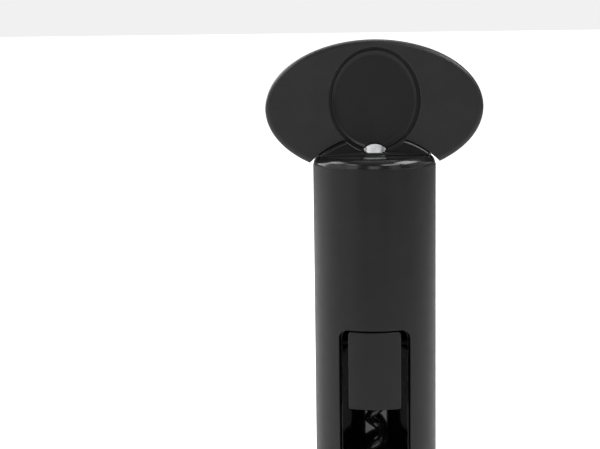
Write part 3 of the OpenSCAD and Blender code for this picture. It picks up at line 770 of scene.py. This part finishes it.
def collar():
    """Polished collar: a barrel whose front and rear stand steeply inside a lens-shaped outline."""
    soup = Soup()
    columns, rows = 48, 14
    across = []
    for i in range(columns + 1):
        x = COLLAR_R * math.sin(math.pi * (i / columns - 0.5))
        top = COLLAR_Z + DOME_H - DOME_R + math.sqrt(DOME_R ** 2 - x * x)
        foot_z = COLLAR_Z - BELLY_H + BELLY_R - math.sqrt(BELLY_R ** 2 - x * x)
        reach = max(0.0, 1 - abs(x / COLLAR_R) ** COLLAR_SQUARENESS) ** (1 / COLLAR_SQUARENESS)
        front = []
        for k in range(rows + 1):
            z = foot_z + (top - foot_z) * k / rows
            radius = COLLAR_R - COLLAR_TAPER * (z - COLLAR_Z + BELLY_H) / (DOME_H + BELLY_H)
            front.append((x, -radius * reach, z))
        across.append(front + [(x, -y, z) for x, y, z in front[::-1]])
    soup.grid(across, closed=True)
    return soup.make("collar_lens", "handle", "chrome", ["spindle_collar"], REST_TURN, crease=40)


collar()

rod = Soup()
ROD_FOOT, ROD_TOP = FERRULE_Z + 5, COLLAR_Z - 0.3
lathe(rod, rounded([(0, ROD_FOOT, 0), (ROD_R, ROD_FOOT, 0.3), (ROD_R, ROD_TOP, 0.3), (0, ROD_TOP, 0)]), 72)
rod.make("rod", "handle", "steel", ["spindle"])

socket_piece = Soup()
lathe(socket_piece, rounded([
    (0, FERRULE_Z, 0), (4.7, FERRULE_Z, 0.6), (5, FERRULE_Z + 3, 0.3), (5, FERRULE_Z + 6.5, 0.1),
    (4.7, FERRULE_Z + 6.8, 0.1), (4.7, FERRULE_Z + 7.4, 0.1), (5, FERRULE_Z + 7.7, 0.1),
    (5, FERRULE_TOP, 0.4), (0, FERRULE_TOP, 0)]), 72)
socket_piece.make("worm_socket", "handle", "matte_black", ["worm_ferrule"])


def helix():
    """Worm: a straight stem and a helix that tapers to a point."""
    top = FERRULE_Z - 1
    total = (top - WORM_TIP) / WORM_PITCH
    count = int(total * 44)
    path, radii = [], []
    for h in (4.6, 3.0, 1.4, 0.6):
        path.append(Vector((WORM_R * math.cos(WORM_PHASE), WORM_R * math.sin(WORM_PHASE), top + h)))
        radii.append(WIRE_R)
    for k in range(count + 1):
        u = total * k / count
        t = WORM_PHASE - math.tau * u
        path.append(Vector((WORM_R * math.cos(t), WORM_R * math.sin(t), top - u * WORM_PITCH)))
        radii.append(WIRE_R * (0.06 + 0.94 * math.sqrt(min(1.0, (total - u) / 1.1))))
    soup = Soup()
    sweep(soup, path, radii, 20)
    return soup.make("worm_wire", "handle", "coated_wire", ["worm"], crease=60)


helix()


def grip():
    """Rubber pad with raked teeth, rounded at their tips."""
    soup = Soup()
    teeth, height, z0, half_w = 4, 13.0, 76.5, 5.5
    pitch = height / teeth
    back = -(BODY_R - TAB_T - 1.6)
    profile = [(back - 1.5, z0)]
    for i in range(teeth):
        z = z0 + i * pitch
        profile += [(back - 0.15, z + 0.02), (back + 0.3, z + 0.1), (back + 3.45, z + 0.28),
                    (back + 3.72, z + 0.42), (back + 3.7, z + 0.62), (back + 3.2, z + 0.95),
                    (back + 0.2, z + pitch - 0.3)]
    profile.append((back - 0.15, z0 + height))
    profile.append((back - 1.5, z0 + height))
    rows = []
    for x, gap in ((-half_w, 0.25), (-half_w + 0.25, 0.0), (half_w - 0.25, 0.0), (half_w, 0.25)):
        rows.append([(x, y - (gap if y > back else 0), z) for y, z in profile])
    soup.grid(rows, closed=True)
    soup.face(rows[0])
    soup.face(rows[-1])
    return soup.make("grip_teeth", "tab", "rubber_black", ["grip_pad"])


grip()


def spring():
    """Torsion spring round the pin, with a leg on the liner and a leg on the tab."""
    wire, turns, leg = 0.35, 4, 7.4
    width = turns * 0.7 * 1.2
    coil_r = 1.95
    steps = turns * 28
    path = [Vector((-width / 2, HINGE_Y - coil_r - 1.8 * s, HINGE_Z + leg * s)) for s in (1, 0.75, 0.5, 0.25)]
    for k in range(steps + 1):
        t = math.tau * turns * k / steps
        path.append(Vector((width * (k / steps - 0.5), HINGE_Y - coil_r * math.cos(t),
                            HINGE_Z - coil_r * math.sin(t))))
    path += [Vector((width / 2, HINGE_Y - coil_r - 3.1 * s, HINGE_Z - leg * s)) for s in (0.25, 0.5, 0.75, 1)]
    soup = Soup()
    sweep(soup, path, [wire] * len(path), 10)
    obj = soup.make("spring_wire", None, "steel", ["tab_spring"], crease=60)
    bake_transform(obj)
    return obj


spring()

# CAD nodes that stay get the same finishes
# The tab pin gets the near-black pin finish, painted shade for the gap beside the tab.
for kept, slot in (("guide_bush", "nylon"), ("cap_screws", "steel"), ("tab_pin", "pin_shaded_black"),
                   ("grip_screws", "steel"), ("tang_pin", "steel"), ("ferrule_pin", "steel"),
                   ("stop_bumper", "rubber_black")):
    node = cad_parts[kept]
    node.data.materials.clear()
    node.data.materials.append(MATERIALS[slot])


# Studio

WHITE = 1.1  # strength at which the background is just clipped to white


def plane(name, size, z):
    mesh = bpy.data.meshes.new(name)
    h = size / 2
    mesh.from_pydata([(-h, -h, z), (h, -h, z), (h, h, z), (-h, h, z)], [], [(0, 1, 2, 3)])
    obj = bpy.data.objects.new(name, mesh)
    bpy.context.scene.collection.objects.link(obj)
    return obj


floor = plane("floor", 30.0, 0.0)
floor_mat = bpy.data.materials.new("floor_white")
floor_mat.use_nodes = True
floor_bsdf = floor_mat.node_tree.nodes["Principled BSDF"]
socket(floor_bsdf, "Base Color", (0.9, 0.9, 0.9, 1))
socket(floor_bsdf, "Roughness", 0.9)
socket(floor_bsdf, "Specular IOR Level", 0.1)
socket(floor_bsdf, "Emission Color", (1, 1, 1, 1))
floor_add, floor_link = floor_mat.node_tree.nodes.new, floor_mat.node_tree.links.new
# The floor glows for the camera alone, so that it looks white without lighting the object from below.
floor_path = floor_add("ShaderNodeLightPath")
floor_glow = floor_add("ShaderNodeMapRange")
socket(floor_glow, "To Min", 0.0)
socket(floor_glow, "To Max", WHITE)
floor_link(floor_path.outputs["Is Camera Ray"], floor_glow.inputs["Value"])
floor_link(floor_glow.outputs["Result"], floor_bsdf.inputs["Emission Strength"])
floor.data.materials.append(floor_mat)

world = bpy.data.worlds.new("studio")
bpy.context.scene.world = world
world.use_nodes = True
wt = world.node_tree
wt.nodes.clear()
w_add, w_link = wt.nodes.new, wt.links.new
w_coord = w_add("ShaderNodeTexCoord")
w_split = w_add("ShaderNodeSeparateXYZ")
w_link(w_coord.outputs["Generated"], w_split.inputs["Vector"])
w_range = w_add("ShaderNodeMapRange")
w_range.interpolation_type = "SMOOTHSTEP"
for key, value in (("From Min", 0.3), ("From Max", 0.95), ("To Min", 0.146), ("To Max", 0.16)):
    socket(w_range, key, value)
w_link(w_split.outputs["Z"], w_range.inputs["Value"])
w_path = w_add("ShaderNodeLightPath")
w_mix = w_add("ShaderNodeMix")
w_mix.data_type = "FLOAT"
w_link(w_path.outputs["Is Camera Ray"], w_mix.inputs[0])
w_link(w_range.outputs["Result"], w_mix.inputs[2])
w_mix.inputs[3].default_value = WHITE
w_back = w_add("ShaderNodeBackground")
w_link(w_mix.outputs[0], w_back.inputs["Strength"])
w_out = w_add("ShaderNodeOutputWorld")
w_link(w_back.outputs["Background"], w_out.inputs["Surface"])


BODY_MIDDLE, LIGHT_DISTANCE = Vector((0, 0, 0.15)), 1.2


def softbox(name, azimuth, elevation, width, height, power):
    """Rectangular light round the body's middle. Azimuth 0 is in front of the window, 90 to its right."""
    az, el = math.radians(azimuth), math.radians(elevation)
    way = Vector((math.sin(az) * math.cos(el), -math.cos(az) * math.cos(el), math.sin(el)))
    light = bpy.data.lights.new(name, "AREA")
    light.shape = "RECTANGLE"
    light.size, light.size_y = width, height
    light.energy = power
    obj = bpy.data.objects.new(name, light)
    bpy.context.scene.collection.objects.link(obj)
    obj.location = BODY_MIDDLE + way * LIGHT_DISTANCE
    obj.rotation_mode = "QUATERNION"
    obj.rotation_quaternion = way.to_track_quat("Z", "Y")


softbox("side_left", -90, 12, 0.8, 0.9, 1.05)
softbox("wide_left", -60, 12, 0.5, 0.9, 0.65)
softbox("front_left", -40, 12, 0.4, 0.9, 0.74)
softbox("front", 0, 15, 0.4, 0.6, 0.63)
softbox("front_right", 40, 12, 0.4, 0.9, 0.41)
softbox("side_right", 90, 12, 0.8, 0.9, 0.5)
softbox("high_left", -95, 44, 0.5, 0.4, 1.7)
softbox("high_front_left", -50, 42, 0.4, 0.22, 0.6)
softbox("high_front_right", 38, 44, 0.6, 0.25, 1.6)
softbox("high_right", 88, 50, 0.7, 0.55, 5.5)
softbox("overhead", 0, 80, 0.8, 0.25, 0.25)
softbox("rear_top", 180, 60, 0.8, 0.6, 3.0)
softbox("rear_right", 130, 25, 0.9, 0.9, 0.95)
softbox("rear_left", -130, 25, 1.2, 1.0, 9.5)

camera_data = bpy.data.cameras.new("camera")
camera = bpy.data.objects.new("camera", camera_data)
bpy.context.scene.collection.objects.link(camera)
bpy.context.scene.camera = camera
# Place, direction and focal length fitted to the photograph's outlines; the focal length is in pixels.
PLACE = Vector((7.76, -524.3, 213.68))
FOCAL, PICTURE_W, SENSOR = 1465.5, 600, 36
PAN, PITCH, ROLL = math.radians(-3.796), math.radians(8.211), math.radians(-0.769)
ahead = Vector((math.sin(PAN) * math.cos(PITCH), math.cos(PAN) * math.cos(PITCH), -math.sin(PITCH)))
level = Vector((math.cos(PAN), -math.sin(PAN), 0))
above = level.cross(ahead)
right = level * math.cos(ROLL) + above * math.sin(ROLL)
up = above * math.cos(ROLL) - level * math.sin(ROLL)
camera.matrix_world = Matrix.Translation(PLACE * MM) @ Matrix((right, up, -ahead)).transposed().to_4x4()
camera_data.sensor_width = SENSOR
camera_data.sensor_fit = "HORIZONTAL"
camera_data.lens = FOCAL / PICTURE_W * SENSOR
camera_data.clip_start = 0.01
camera_data.clip_end = 100

bpy.context.scene.view_settings.view_transform = "Standard"
